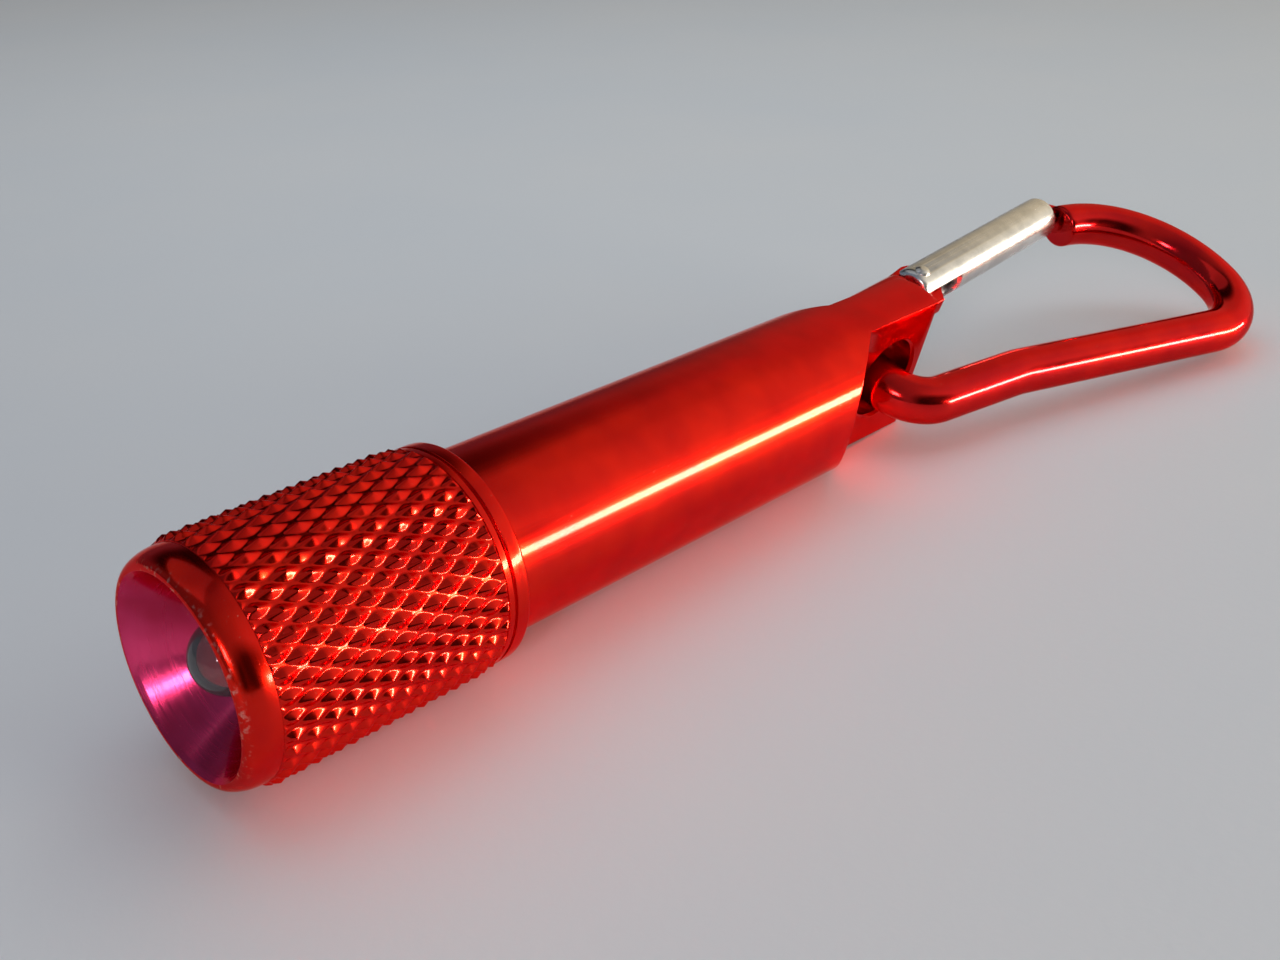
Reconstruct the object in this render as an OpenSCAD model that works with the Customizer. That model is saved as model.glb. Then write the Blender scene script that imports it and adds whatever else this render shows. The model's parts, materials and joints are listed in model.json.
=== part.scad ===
// Keychain flashlight: twist head, single lamp, button-cell barrel, tail carabiner.
// Millimetres. The flashlight's axis lies along +X, lens towards -X, and +Z is up.
// The origin is on the axis, at the middle of the plain barrel that a clip grips.

/* [View] */

// sub-part to draw, or "all"

/* [Barrel] */

// outside diameter of the plain barrel
barrel_d = 13.6; // [13.4:0.1:15]
// front of the head to the end of the tail tongue
light_len = 72; // [71:0.5:78]
// bore that holds the cells
cell_bore_d = 12.2; // [12.1:0.05:12.5]
// depth of the cell bore, from the barrel's front rim to the start of the drill point
cell_bore_len = 31.7; // [30:0.1:33]

/* [Head] */

// length of the head, over the collar
head_len = 20.8; // [20.6:0.1:22]
// diameter over the knurl's points
knurl_d = 16.6; // [16.4:0.1:18]
// front end of the knurl
knurl_front = 2.2; // [1.5:0.1:3]
// back end of the knurl
knurl_back = 19; // [18:0.1:19.2]
// diameter of the smooth bezel ahead of the knurl
bezel_d = 15.7; // [15.4:0.1:16.2]
// rounding of the bezel's front edge
bezel_round = 0.9; // [0.3:0.1:1.2]
// diameter of the plain collar behind the knurl
collar_d = 15.9; // [15.4:0.1:16.2]
// diameter of the reflector at its mouth
mouth_d = 13.1; // [11:0.1:13.2]
// depth of the conical reflector
reflector_depth = 5.2; // [4:0.1:6.5]

/* [Lamp] */

// diameter of the lamp's clear body
led_d = 5; // [4.8:0.1:5]
// distance from the front of the head to the tip of the lamp
led_tip = 1; // [0.4:0.1:2]

/* [Cells] */

// button cell diameter
cell_d = 11.6; // [11:0.1:11.6]
// button cell height
cell_h = 5.4; // [5.2:0.1:5.4]

/* [Tail tongue] */

// thickness between the two flats
tongue_t = 4.6; // [4:0.1:5]
// length of the flats, to the end of the tongue
flat_len = 9.9; // [9:0.1:11]
// length over which the milled shoulder runs out to the barrel's surface
runout_len = 5.9; // [1:0.1:7]
// hole for the carabiner
eye_d = 7.4; // [7:0.1:7.8]
// centre of the hole to the end of the tongue
eye_edge = 5; // [4.8:0.1:5.2]

/* [Carabiner] */

// diameter of the bent rod
rod_d = 4.2; // [3.8:0.1:4.4]
// diameter of the gate
gate_d = 4.2; // [3.8:0.1:4.2]
// diameter of the gate's hinge pin
gate_pin_d = 1.2; // [1:0.05:1.4]

/* [Lie on the table] */

// angle by which the flashlight is rolled about its own axis
lie_roll = 15; // [0:1:30]
// angle by which the carabiner points up from the flashlight's axis
loop_rise = 6; // [-10:1:20]
// tilt of the loose carabiner in its hole
loop_tilt = 8; // [0:1:9]

/* [Hidden] */

$fn = 96;
eps = 0.01;

anodised = [0.72, 0.05, 0.04];
bare_metal = [0.80, 0.81, 0.83];
steel = [0.66, 0.67, 0.69];
clear_resin = [0.90, 0.93, 0.97, 0.5];
phosphor = [0.93, 0.86, 0.35];
white_plastic = [0.92, 0.92, 0.90];
grey_plastic = [0.35, 0.35, 0.37];
film = [0.20, 0.25, 0.55];

barrel_r = barrel_d / 2;

// The screw joint: a plain neck in a plain bore, with the barrel's full diameter inside the collar.
rim_x = 12.3;
neck_end = 17.5;
neck_r_out = barrel_r - 0.2;
thread_gap = 0.05;
collar_gap = 0.07;
bore_step = 17;

// Inside of the head.
web_back = 8.45;
led_hole_r = led_d / 2 + 0.2;
knurl_chamfer = 0.4;
groove_at = 0.45;
groove_w = 0.25;
groove_deep = 0.25;

// The lamp, its leads and the plastic holder behind it.
led_r = led_d / 2;
led_centre = led_tip + led_r;
led_back = 9.6;
flange_r = 2.9;
flange_t = 1;
lead_t = 0.5;
lead_y = 1.27;
lead_fit = 0.1;
anvil_front = 5;
anvil_back = 6.4;
cup_r = 0.38;
cup_deep = 0.3;
holder_front = 8.5;
holder_back = 11.9;
holder_r = 5.95;
contact_reach = 6.45;
contact_back = rim_x - 0.375;

// The stack of cells, and the spring behind it.
stack_front = holder_back + lead_t;
cell_count = 4;
stack_back = stack_front + cell_count * cell_h;
can_wall = 0.3;
gasket_wall = 0.25;
cap_wall = 0.25;
cap_proud = 0.25;
sleeve_wall = 0.15;
sleeve_gap = 0.05;
spring_back = rim_x + cell_bore_len;
spring_r = 4.2;
spring_wire_r = 0.35;
spring_turns = 5;
drill_point = 118;

// The tail, and the middle of the plain barrel between the collar and the milled shoulders.
flat_front = light_len - flat_len;
eye_x = light_len - eye_edge;
grip_mid = (head_len + flat_front - runout_len) / 2;

// The carabiner, in its own plane: u along it, v across it, origin where the rod crosses the eye.
rod_r = rod_d / 2;
rod_seat = [0.3, 0, -0.5];
arm_v = 4.9;
arm_end = 11;
neck_r = 4.2;
neck_v = -2.1;
first_slope = 10.5;
first_len = 8.7;
kink_r = 12;
spine_slope = 17.6;
spine_len = 24;
corner_r = 6;
corner_turn = 90;
wide_r = 11.5;
wide_turn = 96;

// The gate and what it carries, measured from its hinge pin along the gate.
hinge = [13.3, arm_v];
gate_cant = 1;
gate_r = gate_d / 2;
gate_reach = 21.2;
gate_tail = 1.2;
tongue_plate = 1.6;
plate_half = 1.9;
cam_r = 2.3;
cam_flat = 2.1;
spur = 3.1;
slot_w = 2;
slot_end = 4.6;
latch_slot_back = 18.8;
latch_floor = 0.9;
latch_front = 19.1;
latch_plate = 1.5;
pin_gap = 0.05;
pin_len = gate_d + 0.1;
plunger_r = 1.2;
plunger_gap = 0.1;
plunger_front = 2.4;
plunger_len = 3;
stem_r = 0.5;
stem_len = 2;
bore_end = 10.9;
bore_front = 1.2;
small_wire_r = 0.2;
small_coil_r = 0.9;
small_turns = 5;

// ---------- placing ----------

module in_frame() {
    rotate([lie_roll, 0, 0])
        translate([-grip_mid, 0, 0])
            children();
}

module on_loop() {
    translate([eye_x, 0, 0] + rod_seat)
        rotate([0, -loop_rise, 0])
            rotate([loop_tilt, 0, 0])
                children();
}

module on_gate() {
    translate([hinge[0], hinge[1], 0])
        rotate([0, 0, gate_cant])
            children();
}

// A profile drawn as [radius, x], turned about the flashlight's axis.
module turned() {
    rotate([0, 90, 0])
        rotate_extrude()
            children();
}

// A coil of tilted half turns that meet end to end, from z = 0 to z = len.
module coil(r, wire_r, len, turns) {
    rise = (len - 2 * wire_r) / (2 * turns);
    tilt = atan2(rise / 2, r);
    for (k = [0 : 2 * turns - 1])
        translate([0, 0, wire_r + rise * (k + 0.5)])
            rotate([0, 0, 180 * k])
                rotate([0, tilt, 0])
                    rotate_extrude(angle = 180)
                        translate([r / cos(tilt), 0])
                            circle(wire_r);
}

// ---------- head ----------

module head_outline() {
    difference() {
        union() {
            square([bezel_d / 2 - bezel_round, knurl_front + 1]);
            translate([0, bezel_round])
                square([bezel_d / 2, knurl_front]);
            translate([bezel_d / 2 - bezel_round, bezel_round])
                circle(bezel_round);
            polygon([
                [0, knurl_front],
                [knurl_d / 2 - knurl_chamfer, knurl_front],
                [knurl_d / 2, knurl_front + knurl_chamfer],
                [knurl_d / 2, knurl_back - knurl_chamfer],
                [knurl_d / 2 - knurl_chamfer, knurl_back],
                [0, knurl_back]
            ]);
            translate([0, knurl_back - eps])
                square([collar_d / 2, head_len - knurl_back + eps]);
        }
        translate([collar_d / 2 - groove_deep, knurl_back + groove_at])
            square([1, groove_w]);
        translate([-1, -1])
            square([1, head_len + 2]);
    }
}

module head_cavity() {
    polygon([
        [0, -1],
        [mouth_d / 2 + 0.3, -1],
        [mouth_d / 2 + 0.3, 0],
        [mouth_d / 2, 0.3],
        [led_hole_r + 0.2, reflector_depth],
        [led_hole_r, reflector_depth + 0.2],
        [led_hole_r, web_back],
        [neck_r_out + thread_gap, web_back],
        [neck_r_out + thread_gap, bore_step],
        [barrel_r + collar_gap, bore_step + 0.2],
        [barrel_r + collar_gap, head_len + 1],
        [0, head_len + 1]
    ]);
}

module head() {
    color(anodised)
        in_frame()
            turned()
                difference() {
                    head_outline();
                    head_cavity();
                }
}

// ---------- barrel ----------

module barrel_blank() {
    bore_r = cell_bore_d / 2;
    point_len = bore_r / tan(drill_point / 2);
    turned()
        polygon([
            [bore_r, rim_x],
            [neck_r_out - 0.2, rim_x],
            [neck_r_out, rim_x + 0.2],
            [neck_r_out, neck_end],
            [barrel_r, neck_end + 0.2],
            [barrel_r, light_len],
            [0, light_len],
            [0, spring_back + point_len],
            [bore_r, spring_back]
        ]);
}

module flat_cut() {
    linear_extrude(height = 2 * barrel_d, center = true)
        polygon([
            [flat_front - runout_len * 1.5, barrel_r + (barrel_r - tongue_t / 2) * 0.5],
            [flat_front, tongue_t / 2],
            [light_len + 1, tongue_t / 2],
            [light_len + 1, barrel_d]
        ]);
}

module barrel() {
    color(anodised)
        in_frame()
            difference() {
                barrel_blank();
                flat_cut();
                mirror([0, 1, 0])
                    flat_cut();
                translate([eye_x, 0, 0])
                    rotate([90, 0, 0])
                        cylinder(d = eye_d, h = barrel_d, center = true);
            }
}

module tail_spring() {
    color(steel)
        in_frame()
            translate([stack_back, 0, 0])
                rotate([0, 90, 0])
                    coil(spring_r, spring_wire_r, spring_back - stack_back, spring_turns);
}

// ---------- lamp ----------

module lead(side, front, back) {
    translate([(front + back) / 2, side * lead_y, 0])
        cube([back - front, lead_t, lead_t], center = true);
}

module anode_shape() {
    lead(1, anvil_front + 0.2, holder_back + eps);
    translate([anvil_front, lead_y - 0.55, -lead_t / 2])
        cube([0.8, 0.55 + lead_t / 2, lead_t]);
    translate([holder_back, -0.9, -lead_t / 2])
        cube([lead_t, 0.9 + lead_y + lead_t / 2, lead_t]);
}

module die_shape() {
    translate([anvil_front, 0, 0])
        rotate([0, 90, 0])
            cylinder(r1 = cup_r, r2 = cup_r * 0.7, h = cup_deep);
}

module cathode_shape() {
    difference() {
        union() {
            lead(-1, anvil_front + 0.2, contact_back);
            translate([anvil_front, -lead_y - lead_t / 2, -0.55])
                cube([anvil_back - anvil_front, lead_y + lead_t / 2 + 0.47, 1.1]);
            translate([contact_back - lead_t, -contact_reach, -lead_t / 2])
                cube([lead_t, contact_reach - lead_y + lead_t / 2, lead_t]);
        }
        die_shape();
    }
}

module led_anode() {
    color(steel)
        in_frame()
            anode_shape();
}

module led_cathode() {
    color(steel)
        in_frame()
            cathode_shape();
}

module led_die() {
    color(phosphor)
        in_frame()
            die_shape();
}

module led_lens() {
    color(clear_resin)
        in_frame()
            difference() {
                turned() {
                    intersection() {
                        translate([0, led_centre])
                            circle(led_r);
                        translate([0, led_tip - 1])
                            square([led_d, led_r + 1]);
                    }
                    translate([0, led_centre - eps])
                        square([led_r, led_back - led_centre + eps]);
                    translate([0, led_back - flange_t])
                        square([flange_r, flange_t]);
                }
                anode_shape();
                cathode_shape();
                die_shape();
            }
}

module led_holder() {
    hole = lead_t + lead_fit;
    color(white_plastic)
        in_frame()
            difference() {
                turned()
                    translate([0, holder_front])
                        square([holder_r, holder_back - holder_front]);
                turned()
                    translate([0, holder_front - 1])
                        square([flange_r + 0.05, led_back - holder_front + 1]);
                for (side = [-1, 1])
                    translate([led_back + 2, side * lead_y, 0])
                        cube([6, hole, hole], center = true);
                translate([contact_back - lead_t - lead_fit / 2, -holder_r - 1, -hole / 2])
                    cube([2, holder_r + 1 - lead_y + hole / 2, hole]);
            }
}

// ---------- cells ----------

module at_cell(n) {
    in_frame()
        turned()
            translate([0, stack_front + (n - 1) * cell_h])
                children();
}

module can_profile() {
    r = cell_d / 2;
    top = cell_h - cap_proud;
    square([r, can_wall]);
    translate([r - can_wall, 0])
        square([can_wall, top]);
    translate([r - can_wall - 0.35, top - can_wall])
        square([can_wall + 0.35, can_wall]);
}

module gasket_profile() {
    r = cell_d / 2 - can_wall;
    top = cell_h - cap_proud - can_wall;
    translate([r - gasket_wall, can_wall])
        square([gasket_wall, top - can_wall]);
    translate([r - gasket_wall - 0.35, can_wall])
        square([gasket_wall + 0.35, gasket_wall]);
}

module cap_profile() {
    r = cell_d / 2 - can_wall - gasket_wall;
    foot = can_wall + gasket_wall;
    neck = r - 0.25;
    translate([r - cap_wall, foot])
        square([cap_wall, cell_h - cap_proud - can_wall - 0.1 - foot]);
    translate([neck - cap_wall, cell_h - cap_proud - can_wall - 0.1 - cap_wall])
        square([r - neck + cap_wall, cap_wall]);
    translate([neck - cap_wall, cell_h - cap_proud - can_wall - 0.1 - cap_wall])
        square([cap_wall, cap_proud + can_wall + 0.1 + cap_wall]);
    translate([0, cell_h - cap_wall])
        square([neck, cap_wall]);
}

module cell_can(n) {
    color(steel)
        at_cell(n)
            can_profile();
}

module cell_gasket(n) {
    color(grey_plastic)
        at_cell(n)
            gasket_profile();
}

module cell_cap(n) {
    color(bare_metal)
        at_cell(n)
            cap_profile();
}

module cell_sleeve() {
    color(film)
        in_frame()
            turned()
                translate([cell_d / 2 + sleeve_gap, stack_front + 0.1])
                    square([sleeve_wall, stack_back - stack_front - 0.2]);
}

// ---------- carabiner ----------

// A straight length of rod along +X, and what follows it from its end.
module straight(len) {
    rotate([0, 90, 0])
        cylinder(r = rod_r, h = len);
    translate([len, 0, 0])
        children();
}

// Rod bent to the left through turn degrees (to the right if it is negative), and what follows it.
module bend(r, turn) {
    side = sign(turn);
    translate([0, side * r, 0]) {
        rotate([0, 0, side > 0 ? -90 : 90 + turn])
            rotate_extrude(angle = abs(turn))
                translate([r, 0])
                    circle(rod_r);
        rotate([0, 0, turn])
            translate([0, -side * r, 0])
                children();
    }
}

// The flattened end that the gate straddles: a cam round the pin, with a spur on the inside.
module hinge_plate() {
    linear_extrude(height = tongue_plate, center = true)
        difference() {
            union() {
                translate([arm_end - 0.8, arm_v - plate_half])
                    square([hinge[0] - arm_end + 0.8, 2 * plate_half]);
                translate(hinge)
                    intersection() {
                        circle(cam_r);
                        translate([-cam_r, -cam_r])
                            square([cam_r + cam_flat, 2 * cam_r]);
                    }
                translate(hinge)
                    polygon([[-1.6, 0], [-0.9, -spur], [0.3, -spur], [1.2, -1.6], [0, 0]]);
            }
            translate(hinge)
                circle(gate_pin_d / 2 + pin_gap);
        }
}

// The lug on the nose that the gate closes over.
module latch_plate() {
    on_gate()
        linear_extrude(height = latch_plate, center = true)
            polygon([
                [latch_front, -0.6],
                [latch_front, 1.7],
                [gate_reach + 0.9, 1.7],
                [gate_reach + 2.5, -0.2],
                [gate_reach + 2.9, -2.4],
                [gate_reach + 1.2, -3.4],
                [gate_reach + 0.6, -0.6]
            ]);
}

module carabiner_frame() {
    color(anodised)
        in_frame()
            on_loop() {
                translate([arm_end, arm_v, 0])
                    rotate([0, 0, 180])
                        straight(arm_end - neck_r)
                        bend(neck_r, 90)
                        straight(arm_v - neck_r - neck_v)
                        bend(neck_r, 90 - first_slope)
                        straight(first_len)
                        bend(kink_r, first_slope - spine_slope)
                        straight(spine_len)
                        bend(corner_r, corner_turn)
                        bend(wide_r, wide_turn);
                hinge_plate();
                latch_plate();
            }
}

module gate_axis() {
    in_frame()
        on_loop()
            on_gate()
                rotate([0, 90, 0])
                    children();
}

module gate() {
    color(bare_metal)
        in_frame()
            on_loop()
                on_gate()
                    difference() {
                        translate([-gate_tail, 0, 0])
                            rotate([0, 90, 0])
                                cylinder(r = gate_r, h = gate_reach + gate_tail);
                        translate([-gate_tail - 1, -gate_d, -slot_w / 2])
                            cube([slot_end + gate_tail + 1, 2 * gate_d, slot_w]);
                        translate([bore_front, 0, 0])
                            rotate([0, 90, 0])
                                cylinder(r = plunger_r + plunger_gap, h = bore_end - bore_front);
                        translate([latch_slot_back, -latch_floor, -slot_w / 2])
                            cube([gate_reach, gate_d, slot_w]);
                        cylinder(d = gate_pin_d, h = 2 * gate_d, center = true);
                    }
}

module gate_pin() {
    color(steel)
        in_frame()
            on_loop()
                on_gate()
                    cylinder(d = gate_pin_d, h = pin_len, center = true);
}

module gate_plunger() {
    color(steel)
        gate_axis()
            translate([0, 0, plunger_front]) {
                cylinder(r = plunger_r, h = plunger_len);
                cylinder(r = stem_r, h = plunger_len + stem_len);
            }
}

module gate_spring() {
    seat = plunger_front + plunger_len;
    color(steel)
        gate_axis()
            translate([0, 0, seat])
                coil(small_coil_r, small_wire_r, bore_end - seat, small_turns);
}

// ---------- nodes ----------

head();
barrel();
tail_spring();
led_lens();
led_anode();
led_cathode();
led_die();
led_holder();
cell_can(1);  // cell_1_can
cell_gasket(1);  // cell_1_gasket
cell_cap(1);  // cell_1_cap
cell_can(2);  // cell_2_can
cell_gasket(2);  // cell_2_gasket
cell_cap(2);  // cell_2_cap
cell_can(3);  // cell_3_can
cell_gasket(3);  // cell_3_gasket
cell_cap(3);  // cell_3_cap
cell_can(4);  // cell_4_can
cell_gasket(4);  // cell_4_gasket
cell_cap(4);  // cell_4_cap
cell_sleeve();
carabiner_frame();
gate();
gate_pin();
gate_plunger();
gate_spring();
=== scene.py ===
"""Looks of the keychain flashlight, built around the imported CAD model.

Lengths are millimetres in each part's own frame until a place matrix turns them into metres.
The flashlight's own frame has x from the front face of the head, along the axis.
"""

import json
import math

import bmesh
import bpy
import numpy as np
from mathutils import Matrix, Vector


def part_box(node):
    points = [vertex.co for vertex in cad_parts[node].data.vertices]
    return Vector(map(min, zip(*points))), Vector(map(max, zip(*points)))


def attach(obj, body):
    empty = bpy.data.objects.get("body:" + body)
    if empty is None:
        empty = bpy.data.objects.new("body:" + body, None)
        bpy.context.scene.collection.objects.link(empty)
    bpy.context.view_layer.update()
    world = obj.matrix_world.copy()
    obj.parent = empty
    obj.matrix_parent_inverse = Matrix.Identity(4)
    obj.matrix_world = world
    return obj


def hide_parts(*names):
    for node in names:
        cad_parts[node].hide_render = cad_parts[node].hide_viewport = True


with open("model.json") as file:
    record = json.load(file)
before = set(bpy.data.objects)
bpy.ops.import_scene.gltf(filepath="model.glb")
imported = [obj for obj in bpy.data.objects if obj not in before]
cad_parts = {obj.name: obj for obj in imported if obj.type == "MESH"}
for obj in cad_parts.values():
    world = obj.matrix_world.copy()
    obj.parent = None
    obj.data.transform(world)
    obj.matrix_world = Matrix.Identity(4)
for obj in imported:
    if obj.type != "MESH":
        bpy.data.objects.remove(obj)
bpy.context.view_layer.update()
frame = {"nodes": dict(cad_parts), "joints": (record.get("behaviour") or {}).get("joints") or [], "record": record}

MM = 0.001
JOINTS = {joint["name"]: joint for joint in frame["joints"]}


# ---------- frames ----------

def size_of(node):
    """Size of a CAD node's box, in millimetres."""
    low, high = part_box(node)
    return (high - low) / MM


def columns(origin, u, v, w):
    """Matrix that carries (u, v, w) in millimetres to the row frame in metres."""
    turn = Matrix((u, v, w)).transposed().to_4x4()
    return Matrix.Translation(origin) @ turn @ Matrix.Scale(MM, 4)


swing = Vector(JOINTS["carabiner_swing"]["axis"])
ROLL = math.atan2(swing.z, swing.y)
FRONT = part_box("head")[0].x
X_AXIS = Vector((1, 0, 0))
LIGHT = columns(Vector((FRONT, 0, 0)), X_AXIS, swing, X_AXIS.cross(swing))

gate_normal = -Vector(JOINTS["gate_open"]["axis"])
gate_along = Vector(JOINTS["plunger_push"]["axis"])
gate_along = (gate_along - gate_along.project(gate_normal)).normalized()
GATE = columns(Vector(JOINTS["gate_open"]["pos_m"]), gate_along, gate_normal.cross(gate_along), gate_normal)

HINGE = Vector((13.3, 4.9, 0))
GATE_CANT = math.radians(1)
LOOP = GATE @ Matrix.Rotation(-GATE_CANT, 4, "Z") @ Matrix.Translation(-HINGE)


# ---------- meshes ----------

def new_object(name, mesh, body, node, materials):
    """A piece that rides on a body, stands for a CAD node and takes its finish from a slot."""
    made = bpy.data.objects.new(name, mesh)
    bpy.context.scene.collection.objects.link(made)
    for material in materials:
        mesh.materials.append(material)
    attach(made, body)
    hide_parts(node)
    return made


def grid_mesh(name, rings, place, split=None, groups=None):
    """A closed skin through rings of points. A ring's points close on themselves.

    The first and last ring may be one point repeated, and those are merged. split(i, j) says which
    diagonal cuts a face in two, and groups gives each row of faces its material index.
    """
    rings = np.asarray(rings, float)
    rows, cols = rings.shape[:2]
    points = rings.reshape(-1, 3) @ np.array(place.to_3x3()).T + np.array(place.translation)
    faces, indices = [], []
    for i in range(rows - 1):
        for j in range(cols):
            k = (j + 1) % cols
            a, b, c, d = i * cols + j, i * cols + k, (i + 1) * cols + k, (i + 1) * cols + j
            cut = split(i, j) if split else 0
            if cut == 0:
                new = [(a, b, c, d)]
            elif cut == 1:
                new = [(a, b, c), (a, c, d)]
            else:
                new = [(a, b, d), (b, c, d)]
            faces += new
            indices += [groups[i] if groups else 0] * len(new)
    mesh = bpy.data.meshes.new(name)
    mesh.from_pydata(points.tolist(), [], faces)
    mesh.polygons.foreach_set("material_index", indices)
    work = bmesh.new()
    work.from_mesh(mesh)
    bmesh.ops.remove_doubles(work, verts=work.verts, dist=1e-7)
    bmesh.ops.recalc_face_normals(work, faces=work.faces)
    work.to_mesh(mesh)
    work.free()
    return mesh


def smooth(mesh, degrees=30):
    """Smooth shading, with edges sharper than the angle kept sharp."""
    mesh.shade_smooth()
    mesh.set_sharp_from_angle(angle=math.radians(degrees))


def cut_by(target, cutters):
    """Subtracts the cutters' meshes from the target, and leaves the result as the target's mesh."""
    helpers = []
    for mesh in cutters:
        helper = bpy.data.objects.new("cutter", mesh)
        bpy.context.scene.collection.objects.link(helper)
        helpers.append(helper)
        modifier = target.modifiers.new("cut", "BOOLEAN")
        modifier.operation, modifier.solver, modifier.object = "DIFFERENCE", "EXACT", helper
    apply_modifiers(target)
    for helper in helpers:
        bpy.data.objects.remove(helper)


def apply_modifiers(target):
    """Makes the shape that the modifiers give the object's own mesh."""
    bpy.context.view_layer.update()
    shown = target.evaluated_get(bpy.context.evaluated_depsgraph_get())
    mesh = bpy.data.meshes.new_from_object(shown)
    target.modifiers.clear()
    target.data = mesh


def bevel(target, width, degrees=35, segments=2):
    """Breaks the edges that are sharper than the angle. The width is in millimetres."""
    modifier = target.modifiers.new("edge break", "BEVEL")
    modifier.width, modifier.segments = width * MM, segments
    modifier.limit_method, modifier.angle_limit = "ANGLE", math.radians(degrees)
    modifier.use_clamp_overlap = True
    modifier.harden_normals = False
    apply_modifiers(target)


def rounded(corners, steps=4):
    """An open outline through (a, b, radius) corners, each one rounded by an arc-like curve."""
    out = []
    for i, (a, b, radius) in enumerate(corners):
        here = np.array((a, b), float)
        if radius == 0 or i in (0, len(corners) - 1):
            out.append(here)
            continue
        before = np.array(corners[i - 1][:2], float) - here
        after = np.array(corners[i + 1][:2], float) - here
        reach = min(radius, 0.49 * np.linalg.norm(before), 0.49 * np.linalg.norm(after))
        start = here + before / np.linalg.norm(before) * reach
        end = here + after / np.linalg.norm(after) * reach
        for t in np.linspace(0, 1, steps + 1):
            out.append((1 - t) ** 2 * start + 2 * t * (1 - t) * here + t * t * end)
    return np.array(out)


def turned(outline, count, axis="x"):
    """Rings of an (along, radius) outline turned about an axis."""
    angles = np.arange(count) * 2 * math.pi / count
    along = np.repeat(outline[:, :1], count, axis=1)
    one, two = outline[:, 1:] * np.cos(angles), outline[:, 1:] * np.sin(angles)
    order = {"x": (along, one, two), "y": (one, along, two), "z": (one, two, along)}[axis]
    return np.stack(order, axis=-1)


def extruded(name, outline, thickness, place):
    """A plate with this (u, v) outline, centred on w = 0."""
    half = thickness / 2
    count = len(outline)
    points = [place @ Vector((u, v, w)) for w in (-half, half) for u, v in outline]
    faces = [tuple(range(count))[::-1], tuple(range(count, 2 * count))]
    faces += [(i, (i + 1) % count, count + (i + 1) % count, count + i) for i in range(count)]
    mesh = bpy.data.meshes.new(name)
    mesh.from_pydata(points, [], faces)
    return mesh


# ---------- material nodes ----------

class Recipe:
    """A node material with one Principled shader, built from short calls."""

    def __init__(self, name, **values):
        self.material = bpy.data.materials.new(name)
        self.material.use_nodes = True
        self.tree = self.material.node_tree
        self.shader = self.tree.nodes["Principled BSDF"]
        for key, value in values.items():
            self.shader.inputs[key.replace("_", " ")].default_value = value

    def add(self, kind, inputs=None, **settings):
        node = self.tree.nodes.new("ShaderNode" + kind)
        for key, value in settings.items():
            setattr(node, key, value)
        for key, value in (inputs or {}).items():
            if isinstance(value, bpy.types.NodeSocket):
                self.tree.links.new(value, node.inputs[key])
            else:
                node.inputs[key].default_value = value
        return node

    def point(self, scale, turn=(0, 0, 0)):
        """Object coordinates in millimetres, turned and then scaled on each axis."""
        coordinate = self.add("TexCoord").outputs["Object"]
        if any(turn):
            inputs = {"Vector": coordinate, "Rotation": turn}
            coordinate = self.add("Mapping", inputs).outputs["Vector"]
        grow = tuple(s / MM for s in scale)
        return self.add("Mapping", {"Vector": coordinate, "Scale": grow}).outputs["Vector"]

    def noise(self, scale, detail=3.0, rough=0.55, turn=(0, 0, 0), distortion=0.0):
        """Noise from 0 to 1, with so many waves to the millimetre on each axis."""
        inputs = {"Vector": self.point(scale, turn), "Scale": 1.0, "Detail": detail}
        inputs.update({"Roughness": rough, "Distortion": distortion})
        return self.add("TexNoise", inputs).outputs["Fac"]

    def ramp(self, factor, *stops):
        """A colour ramp of (position, colour) stops."""
        node = self.add("ValToRGB", {"Fac": factor})
        ramp = node.color_ramp
        while len(ramp.elements) < len(stops):
            ramp.elements.new(0.5)
        for element, (position, colour) in zip(ramp.elements, stops):
            element.position = position
            element.color = tuple(colour) + (1,) if len(colour) == 3 else colour
        return node.outputs["Color"]

    def span(self, factor, low, high, start=0.3, end=0.7):
        """The factor's range from start to end, mapped to low to high."""
        inputs = {"Value": factor, "From Min": start, "From Max": end, "To Min": low, "To Max": high}
        return self.add("MapRange", inputs).outputs["Result"]

    def maths(self, operation, one, two):
        return self.add("Math", {0: one, 1: two}, operation=operation).outputs[0]

    def mix(self, factor, one, two):
        node = self.add("Mix", data_type="RGBA")
        for socket, value in zip((node.inputs[0], node.inputs[6], node.inputs[7]), (factor, one, two)):
            if isinstance(value, bpy.types.NodeSocket):
                self.tree.links.new(value, socket)
            else:
                socket.default_value = value
        return node.outputs[2]

    def along(self, axis):
        """One of the point's coordinates, in millimetres."""
        separate = self.add("SeparateXYZ", {"Vector": self.point((1, 1, 1))})
        return separate.outputs[axis]

    def drive(self, key, socket):
        self.tree.links.new(socket, self.shader.inputs[key])

    def bump(self, height, depth, strength=1.0):
        """Bump of this depth in millimetres."""
        inputs = {"Height": height, "Strength": strength, "Distance": depth * MM}
        self.drive("Normal", self.add("Bump", inputs).outputs["Normal"])


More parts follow.
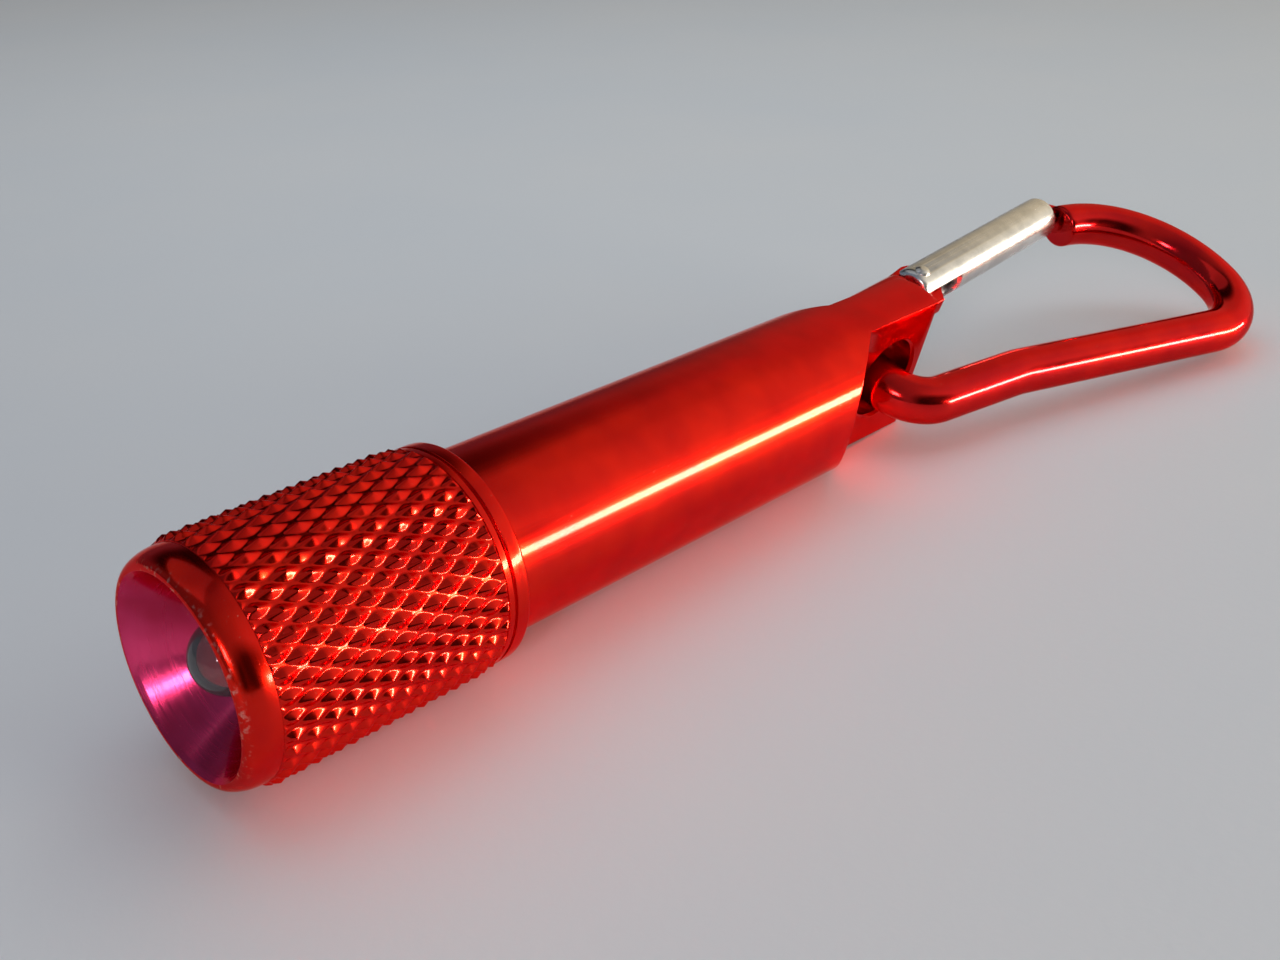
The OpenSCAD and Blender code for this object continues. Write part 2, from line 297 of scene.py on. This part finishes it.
def anodised(name, streaks, red=(0.84, 0.013, 0.003), deep=(0.66, 0.006, 0.003), rough=(0.10, 0.2),
             mark=0.004, turn=(0, 0, 0), wear_at=None):
    """Clear red oxide over machined aluminium, with the tool's streaks and a few pale nicks.

    Chips of worn oxide also lie along the front edge, where x is wear_at millimetres.
    """
    recipe = Recipe(name, Metallic=1.0, Coat_Weight=0.2, Coat_Roughness=0.07, Coat_IOR=1.5)
    recipe.shader.inputs["Specular Tint"].default_value = (1.0, 0.30, 0.24, 1)
    lines = recipe.noise(streaks, 4.0, 0.6, turn)
    clouds = recipe.noise((0.22, 0.22, 0.22), 2.0)
    colour = recipe.ramp(clouds, (0.32, deep), (0.68, red))
    specks = recipe.noise((5.5, 5.5, 5.5), 2.0, 0.5)
    nicks = recipe.span(specks, 0.0, 0.55, 0.74, 0.80)
    if wear_at is not None:
        edge = recipe.span(recipe.along(0), 1.0, 0.0, wear_at, wear_at + 0.5)
        chips = recipe.span(recipe.noise((2.4, 2.4, 2.4), 3.0), 0.0, 0.8, 0.56, 0.66)
        nicks = recipe.maths("MAXIMUM", nicks, recipe.maths("MULTIPLY", edge, chips))
    recipe.drive("Base Color", recipe.mix(nicks, colour, (0.85, 0.30, 0.24, 1)))
    sheen = recipe.span(lines, rough[0], rough[1])
    recipe.drive("Roughness", recipe.maths("ADD", sheen, recipe.maths("MULTIPLY", nicks, 0.15)))
    recipe.bump(recipe.maths("SUBTRACT", lines, recipe.maths("MULTIPLY", nicks, 0.6)), mark)
    return recipe.material


def bare_metal(name, colour, dull, streaks, rough=(0.12, 0.28), mark=0.004, turn=(0, 0, 0)):
    """Bright or drawn metal with streaks, clouds of handling marks and tiny scratches."""
    recipe = Recipe(name, Metallic=1.0)
    lines = recipe.noise(streaks, 5.0, 0.65, turn)
    clouds = recipe.noise((0.6, 0.6, 0.6), 3.0)
    recipe.drive("Base Color", recipe.ramp(clouds, (0.3, dull), (0.62, colour)))
    haze = recipe.maths("MULTIPLY", clouds, 0.12)
    recipe.drive("Roughness", recipe.maths("ADD", recipe.span(lines, *rough), haze))
    recipe.bump(lines, mark)
    return recipe.material


def moulded(name, colour, shade, rough=(0.35, 0.5), grain=3.0, mark=0.006):
    """Moulded plastic with a faint grain and slight flow clouding."""
    recipe = Recipe(name)
    clouds = recipe.noise((0.3, 0.3, 0.3), 3.0)
    fine = recipe.noise((grain, grain, grain), 4.0)
    recipe.drive("Base Color", recipe.ramp(clouds, (0.3, shade), (0.7, colour)))
    recipe.drive("Roughness", recipe.span(fine, *rough))
    recipe.bump(fine, mark)
    return recipe.material


def resin(name):
    """The lamp's clear epoxy, with a faint haze inside and a moulding ripple on its skin."""
    recipe = Recipe(name, Transmission_Weight=0.94, IOR=1.5)
    clouds = recipe.noise((0.8, 0.8, 0.8), 2.0)
    recipe.drive("Base Color", recipe.ramp(clouds, (0.3, (0.90, 0.93, 0.96)), (0.7, (0.98, 0.99, 1.0))))
    recipe.drive("Roughness", recipe.span(clouds, 0.02, 0.07))
    recipe.bump(recipe.noise((1.5, 1.5, 1.5), 2.0), 0.004)
    return recipe.material


def tabletop(name):
    """Pale matt table with a soft sheen."""
    recipe = Recipe(name)
    recipe.shader.inputs["Specular IOR Level"].default_value = 0.2
    clouds = recipe.noise((0.02, 0.02, 0.02), 3.0)
    fine = recipe.noise((1.2, 1.2, 1.2), 3.0)
    recipe.drive("Base Color", recipe.ramp(clouds, (0.3, (0.72, 0.745, 0.785)), (0.7, (0.75, 0.76, 0.785))))
    recipe.drive("Roughness", recipe.span(fine, 0.52, 0.60))
    recipe.bump(fine, 0.01)
    return recipe.material


GATE_TURN = tuple(GATE.to_3x3().normalized().inverted().to_euler())

head_red = anodised("red anodised head", (3.0, 0.05, 0.05), rough=(0.12, 0.24), wear_at=FRONT / MM)
# The reflector is the head's own red anodising. Its pinker red and deep colours are painted reflection, standing
# in for bluish light reflected in the cone.
reflector_painted_pink = anodised(
    "red anodised reflector, painted pink reflection", (6.0, 0.3, 0.3), red=(0.80, 0.05, 0.17), deep=(0.58, 0.02, 0.08),
    rough=(0.16, 0.30), mark=0.008,
)
barrel_red = anodised("red anodised barrel", (0.04, 2.6, 2.6), rough=(0.13, 0.21))
loop_red = anodised(
    "red anodised rod", (0.08, 1.4, 1.4), red=(0.78, 0.012, 0.008), deep=(0.58, 0.005, 0.010),
    rough=(0.10, 0.2), turn=GATE_TURN,
)
gate_metal = bare_metal(
    "bright aluminium gate", (0.80, 0.78, 0.76), (0.64, 0.63, 0.62), (0.05, 2.2, 2.2),
    rough=(0.13, 0.24), mark=0.002, turn=GATE_TURN,
)
steel = bare_metal("drawn steel", (0.62, 0.63, 0.65), (0.42, 0.42, 0.44), (1.2, 5.0, 5.0), (0.2, 0.4))
nickel = bare_metal("nickel plate", (0.80, 0.79, 0.76), (0.62, 0.61, 0.58), (1.5, 1.5, 1.5), (0.16, 0.3))
clear = resin("clear resin")
phosphor = moulded("phosphor", (0.92, 0.82, 0.26), (0.80, 0.66, 0.16), (0.6, 0.8), 14.0, 0.01)
white_plastic = moulded("white plastic", (0.86, 0.86, 0.82), (0.76, 0.76, 0.72))
rubber = moulded("gasket", (0.05, 0.05, 0.055), (0.03, 0.03, 0.035), (0.5, 0.7), 5.0)
film = moulded("film", (0.05, 0.09, 0.40), (0.04, 0.06, 0.28), (0.15, 0.3), 1.2, 0.004)


# ---------- head ----------

KNURL_R = size_of("head").y / 2
KNURL_STARTS = 37
KNURL_LEN = 2.69
KNURL_DEEP = 0.42
KNURL_PHASE = (0.435, 0.32)
KNURL_FRONT, KNURL_BACK = 2.2, 19.0
HEAD_LEN = size_of("head").x
BARREL_R = size_of("barrel").y / 2
HALF_CELLS = 10


def head():
    """The head: rounded bezel, diamond knurl, grooved collar, screw bore and conical reflector."""
    bezel_r, collar_r, bore_r = 7.85, 7.95, 6.65
    face_r, shoulder_len = 6.95, 1.9
    web_back, lamp_r, rim_r = 8.45, 2.7, 6.85
    bore_step, sleeve_r = 17, BARREL_R + 0.07
    groove, groove_r, seam = 19.45, 7.7, 0.25
    front = rounded([(web_back, lamp_r, 0), (5.35, lamp_r, 0.15), (5.2, lamp_r + 0.2, 0.1),
                     (0.3, rim_r - 0.3, 0.06), (0, rim_r, 0.08), (0, face_r, 0)], 7)
    quarter = np.linspace(0, math.pi / 2, 14)[1:]
    shoulder = [(shoulder_len * (1 - math.cos(a)), face_r + (bezel_r - face_r) * math.sin(a))
                for a in quarter]
    front = [*front, *shoulder, (KNURL_FRONT - 0.02, bezel_r)]
    step = 1 / (2 * HALF_CELLS)
    first = (KNURL_PHASE[0] - KNURL_PHASE[1]) / 2
    lengths = KNURL_LEN * (first + step * np.arange(-2, 2 * HALF_CELLS * 8))
    knurl = [x for x in lengths if KNURL_FRONT + 0.02 < x < KNURL_BACK - 0.02]
    knurl = [KNURL_FRONT, KNURL_FRONT + 0.02, *knurl, KNURL_BACK - 0.02, KNURL_BACK]
    back = rounded([(KNURL_BACK + 0.02, collar_r, 0), (groove, collar_r, 0.05), (groove, groove_r, 0.04),
                    (groove + seam, groove_r, 0.04), (groove + seam, collar_r, 0.05),
                    (HEAD_LEN, collar_r, 0.25), (HEAD_LEN, sleeve_r, 0.08),
                    (bore_step + 0.2, sleeve_r, 0.05), (bore_step, bore_r, 0.05),
                    (web_back, bore_r, 0.1), (web_back, lamp_r, 0)], 5)
    count = KNURL_STARTS * 2 * HALF_CELLS
    turn = sum(KNURL_PHASE) / 2 + step * np.arange(count)
    angles = turn / KNURL_STARTS * 2 * math.pi
    rows, kinds = [], []
    for x, r in front:
        rows.append((x, np.full(count, r)))
        kinds.append(1 if r <= rim_r else 0)
    knurl_from = len(rows)
    for x in knurl:
        rows.append((x, knurl_radius(x, turn)))
        kinds.append(0)
    knurl_to = len(rows)
    for x, r in back:
        rows.append((x, np.full(count, r)))
        kinds.append(0)
    rings = [np.stack([np.full(count, x), -r * np.cos(angles), r * np.sin(angles)], -1)
             for x, r in rows]
    roll = Matrix.Rotation(-ROLL, 4, "X")
    place = LIGHT @ roll

    def split(i, j):
        if not knurl_from <= i < knurl_to - 1:
            return 0
        one, two = groove_distances((rows[i][0] + rows[i + 1][0]) / 2, turn[j] + step / 2)
        return 2 if one < two else 1

    mesh = grid_mesh("head", rings, place, split, kinds[1:] + [0])
    smooth(mesh, 38)
    return new_object("head_shell", mesh, "head", "head", [head_red, reflector_painted_pink])


def groove_distances(x, turn):
    """Distance to the nearest groove of each hand, as a share of the spacing."""
    one = np.abs((turn + x / KNURL_LEN - KNURL_PHASE[0] + 0.5) % 1 - 0.5)
    two = np.abs((turn - x / KNURL_LEN - KNURL_PHASE[1] + 0.5) % 1 - 0.5)
    return one, two


def knurl_radius(x, turn):
    """Radius over the knurl's four-sided points, with soft valleys and the ends chamfered."""
    sharp, blunt, valley = 3.6, 0.14, 0.1
    heights = [np.sqrt((2 * share) ** 2 + valley ** 2) - valley for share in groove_distances(x, turn)]
    drop = sum((1 - np.clip(h, 0, 1)) ** sharp for h in heights) ** (1 / sharp)
    drop = (np.sqrt(drop ** 2 + blunt ** 2) - blunt) / (math.sqrt(1 + blunt ** 2) - blunt)
    radius = KNURL_R - KNURL_DEEP * np.clip(drop, 0, 1)
    end = min(x - KNURL_FRONT, KNURL_BACK - x)
    return np.minimum(radius, KNURL_R - 0.4 + end)


head()


# ---------- barrel ----------

TONGUE_HALF = 2.3
FLAT_FRONT, RUNOUT, LIGHT_LEN = 62.1, 5.9, 72.0
EYE_X, EYE_R = 67.0, 3.7


def section(half, radius, edge, arcs=40, flats=10):
    """A round of this radius with two flats at y = ±half, and its corners broken.

    arcs is the number of points on a quarter of the round, and flats on half of a flat.
    """
    least = math.radians(8)
    corner = math.acos(min(1.0, half / radius))
    start = max(corner, least)
    quarter = [(radius * math.cos(a), radius * math.sin(a)) for a in np.linspace(math.pi / 2, start, arcs)]
    quarter = [(min(y, half), z) for y, z in quarter]
    point = np.array(quarter[-1])
    before = np.array(quarter[-2]) - point
    size = min(edge, 0.45 * np.linalg.norm(before)) if corner > least else 0.0
    begin = point + before / np.linalg.norm(before) * size
    end = point - np.array((0, size))
    bend = [(1 - t) ** 2 * begin + 2 * t * (1 - t) * point + t * t * end for t in np.linspace(0, 1, 5)]
    down = []
    for share in np.linspace(1, 0, flats + 1)[1:]:
        z = end[1] * share
        down.append((min(half, math.sqrt(radius ** 2 - z ** 2)), z))
    quarter = [tuple(p) for p in quarter[:-1]] + [tuple(p) for p in bend] + down
    lower = [(y, -z) for y, z in quarter[-2::-1]]
    side = quarter + lower
    other = [(-y, z) for y, z in side[-2:0:-1]]
    return side + other


def barrel():
    """The barrel: screw neck, plain round, milled shoulders, and a tongue with a drilled eye."""
    bore_r, neck_r, edge = 6.1, BARREL_R - 0.2, 0.25
    neck_front, neck_back, bore_end = 12.3, 17.5, 44
    drill_tip = bore_r / math.tan(math.radians(59))
    shape = rounded([(bore_end + drill_tip, 0, 0), (bore_end, bore_r, 0.1), (neck_front, bore_r, 0.1),
                     (neck_front, neck_r, 0.2), (neck_back, neck_r, 0.05),
                     (neck_back + 0.2, BARREL_R, 0.05), (30, BARREL_R, 0)], 4)
    rows = [(x, r, r) for x, r in shape]
    rows += [(x, BARREL_R, BARREL_R) for x in (40, 50, 55.5)]
    slope = (BARREL_R - TONGUE_HALF) / RUNOUT
    for x in np.linspace(FLAT_FRONT - RUNOUT - 0.1, FLAT_FRONT - 0.05, 36):
        rows.append((x, BARREL_R, TONGUE_HALF + slope * (FLAT_FRONT - x)))
    rows += [(x, BARREL_R, TONGUE_HALF) for x in (FLAT_FRONT + 0.05, EYE_X, LIGHT_LEN - 1)]
    for angle in np.linspace(0, math.pi / 2, 6):
        fall = edge * (1 - math.cos(angle))
        rows.append((LIGHT_LEN - edge + edge * math.sin(angle), BARREL_R - fall, TONGUE_HALF - fall))
    rings = []
    for x, radius, half in rows:
        size = 1 if radius else 0
        rings.append([(x, y * size, z * size) for y, z in section(half or 1, radius or 1, 0.16)])
    rim = rings[-1]
    rings += [[(x, y * share, z * share) for x, y, z in rim] for share in (0.7, 0)]
    mesh = grid_mesh("barrel", rings, LIGHT)
    made = new_object("barrel_body", mesh, "barrel", "barrel", [barrel_red])
    wide, mouth_r, outside, inside = BARREL_R + 1, EYE_R + 0.3, TONGUE_HALF + 0.02, TONGUE_HALF - 0.18
    eye = rounded([(-wide, 0, 0), (-wide, mouth_r, 0), (-outside, mouth_r, 0), (-inside, EYE_R, 0.15),
                   (inside, EYE_R, 0.15), (outside, mouth_r, 0), (wide, mouth_r, 0), (wide, 0, 0)], 4)
    cutter = grid_mesh("eye", turned(eye, 96, "y"), LIGHT @ Matrix.Translation((EYE_X, 0, 0)))
    cut_by(made, [cutter])
    smooth(made.data, 25)
    return made


barrel()


# ---------- carabiner ----------

ROD_R = 2.095
ARM_V, ARM_END = HINGE.y, 11.0
GATE_REACH = 21.2


def bent_line(start, heading, steps):
    """Points and headings along straight runs (length) and bends (radius, degrees)."""
    place, angle = Vector(start), math.radians(heading)
    line = [(place.copy(), angle)]
    for step in steps:
        if isinstance(step, tuple):
            radius, turn = step[0], math.radians(step[1])
            side = math.copysign(1, turn)
            centre = place + side * radius * Vector((-math.sin(angle), math.cos(angle)))
            count = max(3, round(abs(step[1]) / 4))
            for k in range(1, count + 1):
                now = angle + turn * k / count
                line.append((centre - side * radius * Vector((-math.sin(now), math.cos(now))), now))
            angle += turn
            place = line[-1][0].copy()
        else:
            count = max(1, round(step / 2.5))
            ahead = Vector((math.cos(angle), math.sin(angle)))
            line += [(place + ahead * step * k / count, angle) for k in range(1, count + 1)]
            place = line[-1][0].copy()
    return line


def tube(line, radius, edge, count=56):
    """Rings of a rod along a line in the loop's plane, with its end edges rounded."""
    rings = []
    angles = np.arange(count) * 2 * math.pi / count

    def ring(place, angle, size):
        side = Vector((-math.sin(angle), math.cos(angle)))
        rings.append([(place.x + side.x * size * math.cos(a), place.y + side.y * size * math.cos(a),
                       size * math.sin(a)) for a in angles])

    def end(place, angle, way):
        ahead = Vector((math.cos(angle), math.sin(angle))) * way
        rounds = [(radius - edge + edge * math.sin(t), edge * math.cos(t) - edge)
                  for t in np.linspace(0, math.pi / 2, 5)]
        return [(place + ahead * back, angle, size) for size, back in [(0, 0), *rounds]]

    for stop in end(*line[0], -1):
        ring(*stop)
    for place, angle in line[1:-1]:
        ring(place, angle, radius)
    for stop in reversed(end(*line[-1], 1)):
        ring(*stop)
    return rings


def arc(centre, radius, start, end, count=14):
    """Points of an arc, from one angle to another in degrees."""
    return [(centre[0] + radius * math.cos(a), centre[1] + radius * math.sin(a))
            for a in np.radians(np.linspace(start, end, count))]


def carabiner():
    """The bent rod with its flattened hinge end, and the lug that the gate closes over."""
    neck_r, neck_v, first, spine = 4.2, -2.1, 10.5, 17.6
    steps = [ARM_END - neck_r, (neck_r, 90), ARM_V - neck_r - neck_v, (neck_r, 90 - first), 8.7,
             (12, first - spine), 24, (6, 90), (11.5, 96)]
    line = bent_line((ARM_END, ARM_V), 180, steps)
    mesh = grid_mesh("rod", tube(line, ROD_R, 0.35), LOOP)
    smooth(mesh, 40)
    rod = new_object("carabiner_rod", mesh, "carabiner", "carabiner_frame", [loop_red])
    u, v = HINGE.x, HINGE.y
    root, plate_half, spur, cam_r, cam_flat = ARM_END - 0.8, 1.9, 3.1, 2.3, 2.1
    flat = math.degrees(math.acos(cam_flat / cam_r))
    outline = [(root, v - plate_half), (u - 1.4, v - plate_half), (u - 0.9, v - spur), (u + 0.3, v - spur),
               *arc((u, v), cam_r, -58, -flat), *arc((u, v), cam_r, flat, 88), (root, v + plate_half)]
    plate = bpy.data.objects.new("carabiner_hinge_end", extruded("hinge end", outline, 1.6, LOOP))
    tip, front, low, high = GATE_REACH, 19.1, -0.6, 1.7
    lug = [(front, low), (front, high), (tip + 0.9, high), (tip + 2.5, -0.2), (tip + 2.9, -2.4),
           (tip + 1.2, -3.4), (tip + 0.6, low)]
    latch = bpy.data.objects.new("carabiner_latch_lug", extruded("latch lug", lug, 1.5, GATE))
    for part in (plate, latch):
        bpy.context.scene.collection.objects.link(part)
        part.data.materials.append(loop_red)
        bevel(part, 0.14, 25, 3)
        smooth(part.data, 35)
        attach(part, "carabiner")
        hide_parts("carabiner_frame")
    return rod


def gate():
    """The gate: a bright tube, slotted over the hinge end and over the latch lug."""
    radius, tail, reach, wide, slot = 2.1, 1.2, GATE_REACH, 3.0, 1.0
    bore_r, bore_front, bore_end, pin_r = 1.3, 1.2, 10.9, 0.6
    hinge_back, latch_front, latch_low = 4.6, 18.8, -0.9
    blank = rounded([(-tail, 0, 0), (-tail, radius, 0.7), (reach, radius, 0.3), (reach, 0, 0)], 5)
    made = new_object("gate_tube", grid_mesh("gate", turned(blank, 96), GATE), "gate", "gate",
                      [gate_metal])
    bore = rounded([(bore_front, 0, 0), (bore_front, bore_r, 0), (bore_end, bore_r, 0.1),
                    (bore_end, 0, 0)], 2)
    pin = rounded([(-wide, 0, 0), (-wide, pin_r, 0), (wide, pin_r, 0), (wide, 0, 0)], 1)
    hinge_slot = [(-wide, -wide), (hinge_back, -wide), (hinge_back, wide), (-wide, wide)]
    latch_slot = [(latch_front, latch_low), (reach + 1, latch_low), (reach + 1, wide), (latch_front, wide)]
    cut_by(made, [extruded("hinge slot", hinge_slot, 2 * slot, GATE),
                  extruded("latch slot", latch_slot, 2 * slot, GATE),
                  grid_mesh("spring bore", turned(bore, 48), GATE),
                  grid_mesh("pin hole", turned(pin, 48, "z"), GATE)])
    bevel(made, 0.07, 40, 2)
    smooth(made.data, 30)
    return made


def gate_pin():
    """The hinge pin, with its ends riveted over into low domes."""
    half, shank_r, head_r, crown_r = 2.15, 0.59, 0.78, 0.45
    one_end = [(half - 0.14, shank_r, 0.02), (half - 0.12, head_r, 0.1), (half + 0.18, crown_r, 0.3),
               (half + 0.22, 0, 0)]
    other_end = [(-along, radius, edge) for along, radius, edge in reversed(one_end)]
    outline = rounded(other_end + one_end, 6)
    mesh = grid_mesh("pin", turned(outline, 48, "z"), GATE)
    smooth(mesh, 50)
    return new_object("gate_rivet", mesh, "carabiner", "gate_pin", [gate_metal])


carabiner()
gate()
gate_pin()


# ---------- lamp and cells ----------

def lamp():
    """The lamp's clear body, with its dome, straight side and flange."""
    radius, flange_r, flange_front, tip, back = 2.5, 2.9, 8.6, 1.0, 9.6
    dome = [(tip + radius - radius * math.cos(a), max(0.01, radius * math.sin(a)), 0)
            for a in np.linspace(0, math.pi / 2, 28)]
    outline = rounded([*dome, (flange_front, radius, 0.05), (flange_front, flange_r, 0.08),
                       (back, flange_r, 0.08), (back, 0, 0)], 3)
    mesh = grid_mesh("lamp", turned(outline, 96), LIGHT)
    smooth(mesh, 50)
    return new_object("lamp_lens", mesh, "light_engine", "led_lens", [clear])


lamp()

FINISHES = {
    "steel": steel, "clear_resin": clear, "phosphor": phosphor, "white_plastic": white_plastic,
    "gasket": rubber, "cell_steel": nickel, "film": film, "red_anodised": barrel_red,
    "bright_aluminium": gate_metal,
}


def dress_cad_nodes():
    """Gives each CAD node that still shows the material of its slot."""
    for part in frame["record"]["subparts"]:
        node = frame["nodes"][part["node"]]
        node.data.materials.clear()
        node.data.materials.append(FINISHES[part["material_slot"]])
        if not node.hide_render:
            smooth(node.data, 40)


dress_cad_nodes()


# ---------- table, light and camera ----------

def table():
    """A plain pale table that the head's knurl and the tongue's end rest on."""
    front, back = (-0.0195, -0.0083), (0.0335, -0.0068)
    slope = math.atan2(back[1] - front[1], back[0] - front[0])
    size = 1.2
    mesh = bpy.data.meshes.new("table")
    corners = [(-size, -size, 0), (size, -size, 0), (size, size, 0), (-size, size, 0)]
    mesh.from_pydata(corners, [], [(0, 1, 2, 3)])
    mesh.materials.append(tabletop("pale table"))
    made = bpy.data.objects.new("table", mesh)
    bpy.context.scene.collection.objects.link(made)
    made.rotation_euler = (0, -slope, 0)
    made.location = (front[0], 0, front[1])
    return made


def softbox(name, direction, distance, width, height, radiance, colour, glossy=True):
    """A rectangular light that faces the flashlight from this direction."""
    data = bpy.data.lights.new(name, "AREA")
    data.shape, data.size, data.size_y = "RECTANGLE", width, height
    data.energy = radiance * width * height * math.pi
    data.color = colour
    made = bpy.data.objects.new(name, data)
    bpy.context.scene.collection.objects.link(made)
    away = Vector(direction).normalized()
    made.location = away * distance
    made.rotation_euler = away.to_track_quat("Z", "Y").to_euler()
    made.visible_glossy = glossy
    return made


def room():
    """A soft grey room, brightest towards the window, tan beyond the tail and dark in two places."""
    world = bpy.data.worlds.new("room")
    bpy.context.scene.world = world
    world.use_nodes = True
    tree = world.node_tree
    background = tree.nodes["Background"]
    where = tree.nodes.new("ShaderNodeTexCoord").outputs["Generated"]

    def towards(direction):
        node = tree.nodes.new("ShaderNodeVectorMath")
        node.operation = "DOT_PRODUCT"
        node.inputs[1].default_value = Vector(direction).normalized()
        tree.links.new(where, node.inputs[0])
        return node.outputs["Value"]

    def ramp(value, stops):
        span = tree.nodes.new("ShaderNodeMapRange")
        span.inputs["From Min"].default_value = -1
        tree.links.new(value, span.inputs["Value"])
        node = tree.nodes.new("ShaderNodeValToRGB")
        while len(node.color_ramp.elements) < len(stops):
            node.color_ramp.elements.new(0.5)
        for element, (position, colour) in zip(node.color_ramp.elements, stops):
            element.position, element.color = position, (*colour, 1)
        tree.links.new(span.outputs["Result"], node.inputs["Fac"])
        return node.outputs["Color"]

    def blend(kind, one, two):
        mix = tree.nodes.new("ShaderNodeMix")
        mix.data_type, mix.blend_type = "RGBA", kind
        mix.inputs[0].default_value = 1
        tree.links.new(one, mix.inputs[6])
        tree.links.new(two, mix.inputs[7])
        return mix.outputs[2]

    glow = ramp(towards((0.62, -0.78, 0.05)), [
        (0.0, (0.13, 0.17, 0.22)), (0.46, (0.17, 0.19, 0.22)), (0.75, (0.38, 0.37, 0.35)),
        (0.933, (0.79, 0.74, 0.64)), (0.992, (0.95, 0.88, 0.74))])
    tan = ramp(towards((1.0, 0.2, 0.6)), [
        (0.86, (0, 0, 0)), (0.95, (0.20, 0.13, 0.02)), (1.0, (0.26, 0.17, 0.03))])
    light = blend("ADD", glow, tan)
    for direction in ((-0.03, -1, 0.08), (0.07, 0.62, 0.76)):
        dark = ramp(towards(direction), [
            (0.88, (1, 1, 1)), (0.95, (0.08, 0.08, 0.09)), (1.0, (0.05, 0.05, 0.06))])
        light = blend("MULTIPLY", light, dark)
    tree.links.new(light, background.inputs["Color"])
    background.inputs["Strength"].default_value = 1.0


def camera():
    """The camera, above and beyond the lens, looking down along the barrel."""
    place = Vector((-0.0690, -0.0683, 0.0487))
    right = Vector((0.7068, -0.7074, -0.0049))
    down = Vector((-0.3327, -0.3263, -0.8848))
    data = bpy.data.cameras.new("camera")
    data.lens, data.sensor_width = 40.41, 36
    data.shift_x, data.shift_y = 0.0099, 0.0141
    data.clip_start, data.clip_end = 0.005, 10
    made = bpy.data.objects.new("camera", data)
    bpy.context.scene.collection.objects.link(made)
    right.normalize()
    down = (down - down.project(right)).normalized()
    axes = Matrix((right, -down, right.cross(-down))).transposed().to_4x4()
    made.matrix_world = Matrix.Translation(place) @ axes
    bpy.context.scene.camera = made


table()
softbox("window", (0.62, -0.78, 0.02), 0.7, 0.5, 0.13, 72, (1.0, 0.93, 0.76))
softbox("lamp", (-0.80, -0.46, 0.365), 0.5, 0.09, 0.09, 18, (1.0, 0.88, 0.95))
softbox("ceiling", (-0.2, 0.5, 1.0), 0.8, 0.7, 0.7, 0.3, (0.95, 0.98, 1.0))
softbox("fill", (0.28, 0.32, 1.0), 0.25, 0.3, 0.3, 0.72, (0.80, 0.96, 1.10), glossy=False)
room()
camera()
bpy.context.scene.view_settings.view_transform = "Standard"
